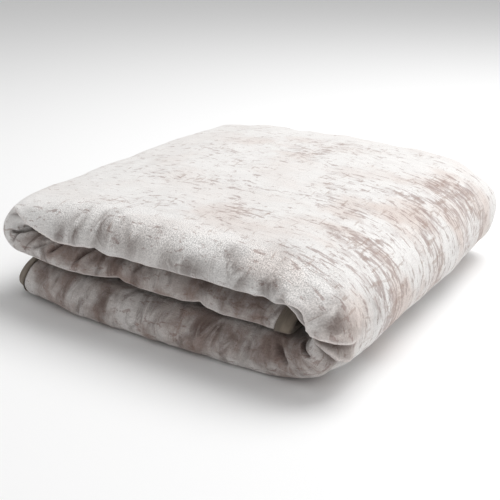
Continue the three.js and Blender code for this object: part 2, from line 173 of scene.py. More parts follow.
def strip_line():
    """The strip's middle line in X and Z, with its marks."""
    eased_x = NOSE["x"] + NOSE["ease"]
    end_x, end_ease = LOWER_END["x"], LOWER_END["x"] + LOWER_END["ease"]
    runs = [
        straight((end_x, LOWER_Z + LOWER_END["lift"]), (end_ease, LOWER_Z)),
        straight((end_ease, LOWER_Z), (RIGHT_TURN["x"], LOWER_Z)),
        half_turn(RIGHT_TURN["x"], LOWER_Z, TOP_Z, RIGHT_TURN["reach"], RIGHT_TURN["power"], 120),
        straight((RIGHT_TURN["x"], TOP_Z), (eased_x, TOP_Z)),
        straight((eased_x, TOP_Z), (NOSE["x"], NOSE["top"])),
        half_turn(NOSE["x"], NOSE["top"], NOSE["bottom"], NOSE["reach"], NOSE["power"], 60),
        straight((NOSE["x"], NOSE["bottom"]), (eased_x, MIDDLE_Z)),
        straight((eased_x, MIDDLE_Z), (INNER_END_X, MIDDLE_Z)),
        [(INNER_END_X, MIDDLE_Z)],
    ]
    starts = np.cumsum([0] + [len(run) for run in runs])
    points = np.vstack(runs)
    for _ in range(PATH_EASINGS):
        points[1:-1] = (points[:-2] + 2 * points[1:-1] + points[2:]) / 4
    line = Line(points)
    index = {
        "lowerEnd": 0,
        "turnStart": starts[2],
        "turnApex": int(np.argmax(points[:, 0])),
        "turnEnd": starts[3],
        "noseStart": starts[5],
        "noseApex": starts[5] + int(np.argmin(points[starts[5]:starts[6], 0])),
        "noseEnd": starts[6],
        "innerEnd": len(points) - 1,
    }
    return line, {name: line.lengths[i] for name, i in index.items()}


def section_line():
    """The cloth's middle line in the strip's own section, with the lengths where its plies begin."""
    front_y = -DEEP / 2 + BULGE
    back_y = DEEP / 2 - HALF_STRIP / 2 - CLOTH / 4
    hidden_hem_y = -DEEP / 2 + CLOTH + HEM_SHORT_OF_FRONT - CLOTH / 2
    inner_hem_y = DEEP / 2 - HEM_SHORT_OF_BACK
    parts = [
        straight((hidden_hem_y, 0), (back_y, 0)),
        half_turn(back_y, 0, PLY, PLY / 2, 2, 40),
        straight((back_y, PLY), (front_y, PLY)),
        half_turn(front_y, PLY, -PLY, -(BULGE - CLOTH / 2), 2, 60),
        straight((front_y, -PLY), (inner_hem_y, -PLY)),
        [(inner_hem_y, -PLY)],
    ]
    starts = np.cumsum([0] + [len(part) for part in parts])
    line = Line(np.vstack(parts))
    return line, [line.lengths[i] for i in starts[:5]] + [line.total]


STRIP, MARKS = strip_line()
SECTION, (HEM_AT, BACK_AT, OUTER_AT, FRONT_AT, INNER_AT, LAST_HEM_AT) = section_line()


def hold_at(along):
    """The columns of HOLD at lengths along the strip, eased between its rows."""
    places = np.array([MARKS[row[0]] + row[1] for row in HOLD])
    rows = np.array([row[2:] for row in HOLD], float)
    after = np.clip(np.searchsorted(places, along, side="right"), 1, len(places) - 1)
    share = smooth((along - places[after - 1]) / (places[after] - places[after - 1]))[..., None]
    held = rows[after - 1] + (rows[after] - rows[after - 1]) * share
    return {name: held[..., i] for i, name in enumerate(HOLD_COLUMNS)}


def settle(x, y, z):
    """Crown, sag, skewed edges and soft swells of the stack as a whole."""
    z = z * (1 - SAG["drop"] * smooth((x - SAG["from"]) / (SAG["to"] - SAG["from"])))
    crown = (1 - (x / CROWN["half_wide"]) ** 2) * (1 - (y / CROWN["half_deep"]) ** 2)
    z = z * (1 + CROWN["rise"] * crown)
    belly = RIGHT_BELLY["out"] * (1 - (y / RIGHT_BELLY["half_deep"]) ** 2)
    right = smooth(x / RIGHT_BELLY["wide"])
    slid = y - FRONT_SKEW * x * smooth(-y / (DEEP / 2))
    settled = np.stack([x + right * (belly - RIGHT_SKEW * y), slid, z], -1)
    start = settled.copy()
    for centre, reach, shift in SWELLS:
        away = np.linalg.norm(start - centre, axis=-1) / reach
        share = np.exp(-away * away) * smooth(start[..., 2] / 12)
        settled += share[..., None] * np.array(shift)
    return settled


def cloth_point(along, across, out):
    """Points of the folded cloth, out of the face that shows, in millimetres in the row's frame."""
    ply, ply_normal = SECTION.at(across)
    hold = hold_at(along)
    inside = np.minimum(along, STRIP.total - along) / PINCH["long"]
    out = out * (PINCH["share"] + (1 - PINCH["share"]) * smooth(inside))
    y = ply[..., 0] + ply_normal[..., 0] * out
    n = ply[..., 1] + ply_normal[..., 1] * out
    n = n * np.where(n > 0, hold["outer"], hold["inner"])
    place, place_normal = STRIP.at(along + hold["slant"] * n)
    at_front = smooth((-DEEP / 2 + DRAWN_DEPTH - y) / DRAWN_DEPTH)
    at_back = smooth((y - DEEP / 2 + DRAWN_DEPTH) / DRAWN_DEPTH)
    leaning = hold["lean"] * n * smooth((-DEEP / 2 + LEAN_DEPTH - y) / LEAN_DEPTH)
    folded_y = y + hold["front"] * at_front - hold["back"] * at_back + leaning
    folded = place + place_normal * n[..., None]
    settled = settle(folded[..., 0], folded_y, folded[..., 1])
    settled[..., 0] -= CENTRE[0]
    settled[..., 1] -= CENTRE[1]
    return settled


# Creases pressed into the cloth: points along, from the apex of the right turn, and across, from the
# start of the front fold, with the depth, the half width and the swell of its two banks
CREASES = [
    ([(526, 25), (534, 31), (545, 40), (556, 48)], 5.5, 2.4, 1.8),
    ([(564, 23), (572, 30), (584, 38), (598, 46)], 5.5, 2.4, 1.8),
    ([(505, 26), (515, 31), (524, 34)], 2.6, 2.0, 0.8),
    ([(648, 25), (655, 33), (664, 40)], 2.6, 3.0, 1.0),
    ([(-66, 26), (-72, 32), (-78, 38), (-86, 46)], 6.0, 2.8, 1.8),
    ([(-28, 34), (-36, 46), (-50, 60)], 6.0, 3.0, 1.4),
    ([(262, 25), (268, 18), (273, 10)], 1.2, 2.6, 0.4),
    ([(462, 26), (474, 37), (489, 46), (500, 50)], 6.0, 2.4, 1.8),
    ([(474, 37), (476, 28), (480, 22)], 3.5, 2.0, 0.8),
    ([(304, 41), (300, 25)], 1.6, 5.0, 0.6),
    ([(85, 40), (90, 24)], 2.0, 4.0, 0.9),
    ([(59, 38), (64, 22)], 1.8, 4.0, 0.7),
    ([(633, 36), (626, 12)], 2.2, 4.0, 1.0),
    ([(744, 34), (738, 12)], 2.2, 4.0, 1.0),
]

# Overlapping rolls: the points of each crisp edge, how deep the cloth falls away on its lower side, how
# wide the wall under the edge is, how far the fall reaches, how far the edge itself stands out, and how
# much deeper the tuck at the foot of the wall is
ROLLS = [
    ([(301, 41), (356, 40), (378, 38), (398, 33), (415, 26), (428, 20), (440, 15), (452, 11)],
     9.0, 3.4, 17.0, 2.0, 3.0),
    ([(-5, -6), (-3, 8), (1, 19), (7, 27), (14, 32), (23, 33), (30, 31), (38, 29), (54, 32), (71, 34)],
     9.0, 3.4, 16.0, 3.0, 3.0),
    ([(-19, -16), (-19, 2), (-16, 15), (-8, 25), (1, 32), (12, 39), (24, 47)], 9.0, 3.6, 22.0, 2.4, 3.0),
]
ROLL_FADES = {"first": 0.2, "last": 0.12}  # the shares of a path over which its roll grows and fades

TUCKED_INSIDE = 0.6  # the inner face follows this share of a fall, so the pile is pressed there
FALLS_END = {"at": 62, "over": 16}  # how far from the front fold's start the falls end

# The crisp lower edges of the front folds: from and to along the strip, past the right turn's apex, the
# length across where the edge lies, past the start of the front fold, which way across its underside is,
# how far it is drawn out and down, and its half width
RIMS = [
    (11, 446, 40, 1, 3.4, 6.5),
    (491, 866, 15, -1, 3.0, 6.5),
]
RIM_FADE = 50  # the length over which an edge grows at its start and fades at its end
RISE_ACROSS = (-28, -6, 12, 32)  # where a rise starts above an edge, is full, is held to, and ends beneath

# How far the lower edges of the front folds rise at places along the strip, past the right turn's apex
RIM_RISE = [
    (22, 0), (34, 3), (43, 7), (50, 7), (59, 8.5), (68, 9.5), (78, 10), (87, 9), (92, 7.5), (97, 5.5),
    (130, 4), (170, 2), (230, 0.5), (286, 0), (300, 3.5), (305, 5), (312, 2), (346, 1), (376, 0),
    (560, 0), (585, 3), (605, 6), (624, 10), (633, 12), (641, 7), (662, 3.5), (692, 3.5),
    (718, 4), (736, 8), (744, 11), (752, 6), (772, 3), (820, 2), (853, 0),
]

WAVES_SUMMED = 18  # the waves that make up one layer of slack


def waves(seed, u, v, shortest, longest):
    """Smooth noise of about unit height: seeded waves that run all ways over the flat cloth."""
    random = np.random.default_rng(seed)
    total = np.zeros(u.shape)
    for _ in range(WAVES_SUMMED):
        length = random.uniform(shortest, longest)
        heading, phase = random.uniform(0, 2 * math.pi, 2)
        total += np.sin(2 * math.pi * (u * math.cos(heading) + v * math.sin(heading)) / length + phase)
    return total / math.sqrt(WAVES_SUMMED / 2)


def between(value, rise_from, rise_to, fall_from, fall_to):
    """1 between two places and 0 well outside them, with soft slopes."""
    rising = smooth((value - rise_from) / (rise_to - rise_from))
    return rising * smooth((fall_to - value) / (fall_to - fall_from))


def along_path(u, v, path):
    """The distance to a path of straight pieces, its sign (positive on the left of the way), and the
    share of the path's length at the nearest place."""
    points = np.array(path, float)
    steps = np.diff(points, axis=0)
    lengths = np.linalg.norm(steps, axis=1)
    starts = np.concatenate([[0], np.cumsum(lengths)])
    nearest = np.full(u.shape, 1e9)
    sign = np.ones(u.shape)
    share = np.zeros(u.shape)
    for i, (point, step, length) in enumerate(zip(points, steps, lengths)):
        du, dv = u - point[0], v - point[1]
        t = np.clip((du * step[0] + dv * step[1]) / length**2, 0, 1)
        away = np.hypot(du - t * step[0], dv - t * step[1])
        closer = away < nearest
        nearest = np.where(closer, away, nearest)
        sign = np.where(closer, np.sign(step[0] * dv - step[1] * du), sign)
        share = np.where(closer, (starts[i] + t * length) / starts[-1], share)
    return nearest, sign, share


def relief(u, v):
    """How far the cloth's face stands out from its plain folded shape, in millimetres."""
    u, v = u - MARKS["turnApex"], v - FRONT_AT
    height = np.zeros(u.shape)
    for path, depth, width, swell in CREASES:
        away, _, share = along_path(u, v, path)
        tapered = smooth(share / 0.2) * smooth((1 - share) / 0.3) * 0.9 + 0.1
        bank = swell * np.exp(-(((away - 2.1 * width) / (1.3 * width)) ** 2))
        height += tapered * (bank - depth * np.exp(-((away / width) ** 2)))
    deepest = np.zeros(u.shape)
    for path, depth, wall, reach, lip, tuck in ROLLS:
        away, sign, share = along_path(u, v, path)
        tapered = smooth(share / ROLL_FADES["first"]) * smooth((1 - share) / ROLL_FADES["last"])
        below = away * sign
        fall = smooth((below + wall * 0.3) / wall) * np.exp(-((np.maximum(below, 0) / reach) ** 2))
        groove = np.exp(-(((below - wall * 0.8) / (wall * 0.7)) ** 2))
        deepest = np.maximum(deepest, tapered * (depth * fall + tuck * groove))
        height += tapered * lip * np.exp(-(((below + wall * 0.9) / wall) ** 2))
    height -= deepest * smooth((FALLS_END["at"] - v) / FALLS_END["over"])
    at_front = between(v, -12, 12, 40, 58)
    shown_top = between(v, -440, -410, -20, 15) * between(u, -84, -24, 446, 481)
    at_back = between(v + FRONT_AT - BACK_AT, -8, 2, 22, 36)
    height += shown_top * (0.65 * waves(3, u, v, 70, 190) + 0.25 * waves(5, u, v, 22, 50))
    height += at_front * (0.35 * waves(7, u, v, 34, 90) + 0.2 * waves(9, u, v, 14, 26))
    height += at_back * (0.9 * waves(11, u, v, 30, 110))
    return height


# Where the print is densest, as soft patches: the centre along, past the right turn's apex, and across,
# past the start of the front fold, half its length and half its width, and how dense it is. First come the
# dusky smudges on the fronts, print with some painted shade laid in the hollow beside the inner tape, then
# the parts of the top and right that are flecked.
SMUDGES_AND_HOLLOW_SHADE = [
    (333, 22, 9, 22, 0.9), (356, 32, 12, 12, 0.7), (300, 22, 12, 20, 0.6), (290, 18, 20, 16, 0.45),
    (253, 28, 18, 14, 0.55), (206, 34, 16, 12, 0.6), (174, 34, 20, 11, 0.7), (137, 22, 14, 18, 0.6),
    (118, 30, 14, 12, 0.7), (78, 27, 12, 16, 0.7), (92, -6, 22, 30, 0.3), (228, 8, 20, 14, 0.25),
    (20, 17, 15, 11, 0.8), (42, 2, 20, 16, 0.35), (2, -6, 14, 16, 0.35), (10, -47, 12, 18, 0.4),
    (597, 33, 16, 12, 0.8), (630, 30, 12, 14, 0.5), (667, 33, 24, 12, 0.7), (742, 32, 18, 12, 0.7),
    (780, 28, 24, 14, 0.6), (812, 28, 14, 14, 0.5), (552, 30, 20, 12, 0.3), (700, 28, 16, 10, 0.4),
    (-410, 38, 14, 16, 0.6), (-362, 42, 18, 14, 0.6), (-300, 38, 20, 12, 0.7), (-251, 48, 16, 12, 0.7),
    (-223, 34, 16, 14, 0.7), (-172, 36, 22, 14, 0.9), (-157, 40, 10, 12, 0.6), (-114, 34, 16, 16, 0.8),
    (-84, 38, 12, 16, 0.7), (-49, 30, 18, 14, 0.6), (-316, 27, 22, 10, 0.4), (-20, 14, 18, 14, 0.5),
    (-60, 64, 16, 16, 0.8), (-40, 50, 16, 12, 0.8), (30, 38, 14, 8, 0.6),
]
FLECKED = [
    (15, -80, 45, 70, 0.9), (61, -111, 55, 60, 0.7), (169, -64, 60, 38, 0.6), (97, -194, 60, 60, 0.55),
    (30, -240, 45, 90, 0.85), (25, -350, 45, 80, 0.9), (280, -330, 70, 70, 0.55), (150, -330, 90, 60, 0.45),
    (300, -190, 80, 60, 0.3), (-20, -120, 50, 120, 0.8), (-20, -330, 60, 100, 0.7), (20, 0, 30, 22, 0.5),
    (100, 10, 60, 30, 0.4), (240, -40, 40, 30, 0.4),
]


def patches(u, v, table):
    """How dense the print, with the smudges' painted shade, is where soft patches of it lie."""
    total = np.zeros(u.shape)
    for along, across, long, wide, strength in table:
        total += strength * np.exp(-(((u - along) / long) ** 2) - (((v - across) / wide) ** 2))
    return np.clip(total, 0, 1)


def tones(u, v):
    """Shares from 0 to 1 at places on the cloth: painted shade in creases and under the edges of the rolls
    and front folds, painted highlight along those edges, smudged print with some painted shade, flecked, in
    the open nap of a front fold, and on the shaded fronts of the two lower runs, where painted shade is
    laid with the print."""
    u, v = u - MARKS["turnApex"], v - FRONT_AT
    painted_shade, painted_highlight = np.zeros(u.shape), np.zeros(u.shape)
    # Painted shade along the creases, darker where shade falls in them.
    for path, depth, width, _ in CREASES:
        away, _, share = along_path(u, v, path)
        tapered = smooth(share / 0.15) * smooth((1 - share) / 0.4) * min(1, depth / 4)
        painted_shade = np.maximum(painted_shade, tapered * np.exp(-((away / (0.9 * width)) ** 2)))
    # Painted shade under the crisp edge of each roll, down its wall and into its tuck, and a painted
    # highlight along the edge itself.
    for path, _, wall, _, _, _ in ROLLS:
        away, sign, share = along_path(u, v, path)
        tapered = smooth(share / 0.1) * smooth((1 - share) / 0.1)
        below = away * sign
        shadow = smooth((below + 0.2 * wall) / wall) * np.exp(-np.maximum(below - wall, 0) / (1.8 * wall))
        painted_shade = np.maximum(painted_shade, tapered * shadow)
        painted_highlight = np.maximum(painted_highlight, tapered * np.exp(-(((below + 0.5 * wall) / (0.4 * wall)) ** 2)))
    # Painted highlight along the lower edge of each front fold, and painted shade on its underside and in
    # the gap beneath it.
    for start, end, edge_at, under, _, _ in RIMS:
        beneath = (v - edge_at) * under
        within = between(u, start, start + 15, end - 15, end)
        painted_highlight = np.maximum(painted_highlight, within * np.exp(-(((beneath - 2.0) / 1.5) ** 2)))
        painted_shade = np.maximum(painted_shade, within * between(beneath, 4, 10, 40, 60))
    open_nap = between(v, -40, -6, 16, 40) * between(u, 10, 70, 330, 440)
    # The fronts of the two lower runs, which face away from the light: the shader lays an umber wash and
    # dusky clouds there, part print and part painted shade.
    front_shade_and_print = between(v, -40, -6, 70, 110) * np.maximum(smooth((-24 - u) / 30), smooth((u - 470) / 30))
    return {
        "painted_shade": painted_shade,
        "painted_highlight": painted_highlight,
        "smudge_and_shade": patches(u, v, SMUDGES_AND_HOLLOW_SHADE),
        "fleck": patches(u, v, FLECKED),
        "open_nap": open_nap,
        "front_shade_and_print": front_shade_and_print,
    }


def dressed_point(u, v, out):
    """A point of the cloth with its relief, its rising rims and its flat foot."""
    face = CLOTH / 2 + 0 * u
    step = 0.5
    along_way = cloth_point(u + step, v, face) - cloth_point(u - step, v, face)
    across_way = cloth_point(u, v + step, face) - cloth_point(u, v - step, face)
    normal = np.cross(along_way, across_way)
    normal /= np.linalg.norm(normal, axis=-1, keepdims=True)
    height = relief(u, v)
    shift = normal * height[..., None]
    rims = np.array(RIM_RISE, float)
    from_apex = u - MARKS["turnApex"]
    risen = np.interp(from_apex, rims[:, 0], rims[:, 1])
    for start, end, edge_at, under, drawn, width in RIMS:
        beneath = (v - FRONT_AT - edge_at) * under
        length = between(from_apex, start, start + RIM_FADE, end - RIM_FADE, end)
        edge = drawn * np.exp(-((beneath / width) ** 2)) * length
        within = (from_apex >= start) & (from_apex <= end)
        shift[..., 1] -= 0.8 * edge
        shift[..., 2] += within * risen * between(beneath, *RISE_ACROSS) - 0.6 * edge
    shift[(out < 0) & (height < 0)] *= TUCKED_INSIDE
    moved = cloth_point(u, v, out) + shift
    moved[..., 2] = np.maximum(moved[..., 2], 0)
    return moved


def stretch(start, end, step):
    """Even places from start up to, and not with, the end, about a step apart."""
    return np.linspace(start, end, max(1, round((end - start) / step)), endpoint=False)


def along_stations():
    """Lengths along the strip for the fine face."""
    starts = [np.clip(MARKS["turnApex"] + row[0], 0, STRIP.total) for row in ALONG_STEPS] + [STRIP.total]
    stretches = [stretch(starts[i], starts[i + 1], row[1]) for i, row in enumerate(ALONG_STEPS)]
    return np.concatenate(stretches + [[STRIP.total]])


def section_stations():
    """Lengths across the strip's section for the fine face."""
    lip_end = INNER_AT + EDGE_LONG["lip"]
    near_hem = CLOTH * np.array([0, 0.04, 0.14, 0.3, 0.5])
    return np.concatenate([
        near_hem,
        stretch(CLOTH, BACK_AT, ACROSS_STEPS["hidden"]),
        stretch(BACK_AT, OUTER_AT, ACROSS_STEPS["back"]),
        stretch(OUTER_AT, OUTER_AT + EDGE_LONG["back"], ACROSS_STEPS["edge"]),
        stretch(OUTER_AT + EDGE_LONG["back"], FRONT_AT - EDGE_LONG["front"], ACROSS_STEPS["outer"]),
        stretch(FRONT_AT - EDGE_LONG["front"], FRONT_AT, ACROSS_STEPS["edge"]),
        stretch(FRONT_AT, INNER_AT, ACROSS_STEPS["front"]),
        stretch(INNER_AT, lip_end, ACROSS_STEPS["lip"]),
        stretch(lip_end, LAST_HEM_AT - CLOTH, ACROSS_STEPS["inner"]),
        [LAST_HEM_AT - CLOTH],
        LAST_HEM_AT - near_hem[::-1],
    ])


def half_thickness(across):
    """Half the cloth's thickness, rounded off at its two plain hems."""
    inside = np.minimum(across, SECTION.total - across) / (CLOTH / 2)
    return CLOTH / 2 * np.sqrt(np.clip(1 - (1 - np.clip(inside, 0, 1)) ** 2, 0.0004, 1))


def cloth_faces():
    """The grids of lengths along and across, for the fine face that shows and the coarse one inside."""
    along = along_stations()
    across = section_stations()
    coarse = np.unique(np.concatenate([np.arange(0, len(along), COARSE_EVERY), [len(along) - 1]]))
    return along, across, coarse


def grid_triangles(index, flip):
    """Two triangles for each cell of a grid of vertex numbers."""
    a, b = index[:-1, :-1].ravel(), index[1:, :-1].ravel()
    c, d = index[1:, 1:].ravel(), index[:-1, 1:].ravel()
    first, second = np.stack([a, b, c], 1), np.stack([a, c, d], 1)
    faces = np.concatenate([first, second])
    return faces[:, ::-1] if flip else faces


def zip_triangles(left, left_at, right, right_at, flip):
    """Triangles between two rows of vertices that run side by side, by their places along."""
    faces = []
    i = j = 0
    while i + 1 < len(left) or j + 1 < len(right):
        step_left = j + 1 == len(right) or (i + 1 < len(left) and left_at[i + 1] <= right_at[j + 1])
        if step_left:
            faces.append((left[i], left[i + 1], right[j]))
            i += 1
        else:
            faces.append((left[i], right[j + 1], right[j]))
            j += 1
    faces = np.array(faces)
    return faces[:, ::-1] if flip else faces


def mesh_object(name, points, faces, flat, material, shares):
    """A mesh object from points in millimetres, with the flat cloth's own place kept as a UV map in metres
    and named shares kept as attributes of its points."""
    mesh = bpy.data.meshes.new(name)
    mesh.from_pydata((points * MM).tolist(), [], faces.tolist())
    layer = mesh.uv_layers.new(name="flat")
    corners = np.zeros(len(mesh.loops), dtype=np.int32)
    mesh.loops.foreach_get("vertex_index", corners)
    layer.data.foreach_set("uv", (flat[corners] * MM).astype(np.float32).ravel())
    for key, values in shares.items():
        mesh.attributes.new(key, "FLOAT", "POINT").data.foreach_set("value", values.astype(np.float32))
    mesh.shade_smooth()
    mesh.materials.append(material)
    piece = bpy.data.objects.new(name, mesh)
    bpy.context.scene.collection.objects.link(piece)
    return piece


def throw_cloth(material):
    """The whole cloth as one closed sheet: a fine face that shows, and a coarse one on its inner side."""
    along, across, coarse = cloth_faces()
    u, v = np.meshgrid(along, across, indexing="ij")
    out = half_thickness(v)
    face = dressed_point(u, v, out)
    inside = dressed_point(u, v, -out)
    few = np.ix_(coarse, np.arange(len(across)))
    fine_index = np.arange(u.size).reshape(u.shape)
    inner_index = u.size + np.arange(u[few].size).reshape(u[few].shape)
    faces = [
        grid_triangles(fine_index, False),
        grid_triangles(inner_index, True),
        zip_triangles(fine_index[:, 0], along, inner_index[:, 0], along[coarse], True),
        zip_triangles(fine_index[:, -1], along, inner_index[:, -1], along[coarse], False),
        zip_triangles(fine_index[0], across, inner_index[0], across, False),
        zip_triangles(fine_index[-1], across, inner_index[-1], across, True),
    ]
    points = np.concatenate([face.reshape(-1, 3), inside[few].reshape(-1, 3)])
    fine_flat = np.stack([u.ravel(), v.ravel()], 1)
    flat = np.concatenate([fine_flat, np.stack([u[few].ravel(), v[few].ravel()], 1)])
    shares = tones(flat[:, 0], flat[:, 1])
    return mesh_object("throw_cloth", points, np.concatenate(faces), flat, material, shares)


# The stitches of the tapes: sunk is how deep their corners sit in the tape
STITCH = {"pitch": 3.4, "long": 2.3, "wide": 1.1, "proud": 0.35, "sunk": 0.05, "from_edge": 1.8}


def tape_profile():
    """Around the tape's thin U: out over one face, round the cut end, back over the other, and inside."""
    face = CLOTH / 2 + GAP
    half = [(BAND, 1.0), (BAND * 0.55, 1.06), (0, 1.0), (-(GAP + TAPE) * 0.8, 0.72), (-GAP - TAPE, 0.0)]
    outside = [(along, (face + TAPE) * share) for along, share in half]
    inside = [(max(along, -GAP), face * min(share, 1.0)) for along, share in half]
    outer = outside + [(along, -out) for along, out in outside[-2::-1]]
    inner = [(along, -out) for along, out in inside] + inside[-2::-1]
    return np.array(outer + inner, float)


def tape_points(end, inwards, along, across, out):
    """Points of a tape, where along counts from the cloth's end inwards."""
    return dressed_point(end + inwards * along, across, out)


def stitches(end, inwards):
    """A row of short stitches on each face of the tape, beside its inner edge, as small raised lozenges."""
    starts = np.arange(BAND, SECTION.total - BAND, STITCH["pitch"])
    corners = np.array([(0, 0.5), (0.5, 0), (0, -0.5), (-0.5, 0)]) * (STITCH["wide"], STITCH["long"])
    level = CLOTH / 2 + GAP + TAPE
    points, faces, flats = [], [], []
    for side in (1, -1):
        along = BAND - STITCH["from_edge"] + 0 * starts
        sunk = side * (level - STITCH["sunk"]) + 0 * starts
        proud = side * (level + STITCH["proud"]) + 0 * starts
        ring = [tape_points(end, inwards, along + c[0], starts + c[1], sunk) for c in corners]
        ring.append(tape_points(end, inwards, along, starts, proud))
        stack = np.stack(ring, 1)
        base = sum(len(p) for p in points) + 5 * np.arange(len(starts))[:, None]
        points.append(stack.reshape(-1, 3))
        flats.append(np.stack([np.repeat(end + inwards * along, 5), np.repeat(starts, 5)], 1))
        order = [(0, 1, 4), (1, 2, 4), (2, 3, 4), (3, 0, 4), (0, 3, 2), (0, 2, 1)]
        order = order if side * inwards < 0 else [row[::-1] for row in order]
        faces += [base + np.array(row) for row in order]
    return np.concatenate(points), np.concatenate(faces), np.concatenate(flats)


def tape_band(name, end, inwards, material):
    """The tape over one cut end: a thin U over the whole edge of the cloth, with its stitches."""
    across = section_stations()
    places = tape_profile()
    along = places[None, :, 0] + 0 * across[:, None]
    v = across[:, None] + 0 * along
    points = tape_points(end, inwards, along, v, places[None, :, 1] + 0 * along)
    index = np.arange(along.size).reshape(along.shape)
    ring = np.concatenate([index, index[:, :1]], 1)
    faces = [grid_triangles(ring, inwards < 0)]
    size = len(places)
    for row, flip in ((index[0], inwards < 0), (index[-1], inwards > 0)):
        paired = np.stack([row[:size // 2], row[::-1][:size // 2]], 1)
        faces.append(grid_triangles(paired, flip))
    sewn_points, sewn_faces, sewn_flat = stitches(end, inwards)
    faces.append(sewn_faces + along.size)
    flat = np.concatenate([np.stack([(end + inwards * along).ravel(), v.ravel()], 1), sewn_flat])
    thread = np.concatenate([np.zeros(along.size), np.ones(len(sewn_flat))])
    points = np.concatenate([points.reshape(-1, 3), sewn_points])
    return mesh_object(name, points, np.concatenate(faces), flat, material, {"thread": thread})


class Graph:
    """Short calls for the nodes of one material."""

    def __init__(self, name, roughness):
        self.material = bpy.data.materials.new(name)
        self.material.use_nodes = True
        self.tree = self.material.node_tree
        self.shader = self.tree.nodes["Principled BSDF"]
        self.shader.inputs["Roughness"].default_value = roughness

    def node(self, kind, values=(), **settings):
        made = self.tree.nodes.new(kind)
        for key, value in settings.items():
            setattr(made, key, value)
        for socket, value in values:
            if isinstance(value, bpy.types.NodeSocket):
                self.tree.links.new(value, made.inputs[socket])
            else:
                made.inputs[socket].default_value = value
        return made

    def flat(self):
        """The place on the flat cloth, in millimetres: along in X and across in Y."""
        place = self.node("ShaderNodeUVMap", uv_map="flat").outputs[0]
        values = [(0, place), ("Scale", 1 / MM)]
        return self.node("ShaderNodeVectorMath", values, operation="SCALE").outputs[0]

    def noise(self, place, along, across, detail, shift, rough=0.5, warp=0.0):
        """Noise whose grains are about so long along and across, in millimetres."""
        moved = (shift, shift * 1.7, 0)
        scaled = (1 / along, 1 / across, 1)
        values = [("Vector", place), ("Location", moved), ("Scale", scaled)]
        sized = self.node("ShaderNodeMapping", values).outputs[0]
        values = [
            ("Vector", sized), ("Scale", 1.0), ("Detail", detail),
            ("Roughness", rough), ("Distortion", warp),
        ]
        return self.node("ShaderNodeTexNoise", values, noise_dimensions="2D").outputs["Fac"]

    def ramp(self, value, low, high, to_low=0.0, to_high=1.0):
        """A value taken from one range to another, level past the ends of both."""
        values = [
            ("Value", value), ("From Min", low), ("From Max", high),
            ("To Min", to_low), ("To Max", to_high),
        ]
        return self.node("ShaderNodeMapRange", values, interpolation_type="SMOOTHSTEP").outputs["Result"]

    def math(self, operation, first, second):
        return self.node("ShaderNodeMath", [(0, first), (1, second)], operation=operation).outputs[0]

    def times(self, first, second):
        return self.math("MULTIPLY", first, second)

    def plus(self, first, second):
        return self.math("ADD", first, second)

    def blend(self, share, first, second):
        """The first colour with a share of the second. A mix of colours has them at sockets 6 and 7."""
        values = [(0, share), (6, first), (7, second)]
        return self.node("ShaderNodeMix", values, data_type="RGBA").outputs[2]

    def share(self, name):
        """One of the shares that are kept on the mesh's points."""
        settings = {"attribute_name": name, "attribute_type": "GEOMETRY"}
        return self.node("ShaderNodeAttribute", **settings).outputs["Fac"]

    def bump(self, height, strength, distance_mm, under=None):
        values = [("Height", height), ("Strength", strength), ("Distance", distance_mm * MM)]
        if under is not None:
            values.append(("Normal", under))
        return self.node("ShaderNodeBump", values).outputs[0]

    def finish(self, colour, normal):
        self.tree.links.new(colour, self.shader.inputs["Base Color"])
        self.tree.links.new(normal, self.shader.inputs["Normal"])
        return self.material


def plain_material(name, colour, roughness):
    material = bpy.data.materials.new(name)
    material.use_nodes = True
    shader = material.node_tree.nodes["Principled BSDF"]
    shader.inputs["Base Color"].default_value = (*colour, 1)
    shader.inputs["Roughness"].default_value = roughness
    return material


# The plush's print, its painted shade and painted highlight, and the tape, as linear colours
GROUND = (0.80, 0.785, 0.77, 1)
BLUSH = (0.64, 0.53, 0.475, 1)
MAUVE = (0.28, 0.19, 0.172, 1)
TAUPE = (0.34, 0.245, 0.205, 1)
DUSK_PRINT_AND_SHADE = (0.11, 0.072, 0.06, 1)
UMBER_PRINT_AND_SHADE = (0.25, 0.165, 0.135, 1)
PAINTED_HIGHLIGHT_TINT = (0.86, 0.80, 0.77, 1)
TAPE_DARK = (0.15, 0.125, 0.10, 1)
TAPE_LIGHT = (0.27, 0.225, 0.18, 1)
THREAD = (0.20, 0.15, 0.12, 1)


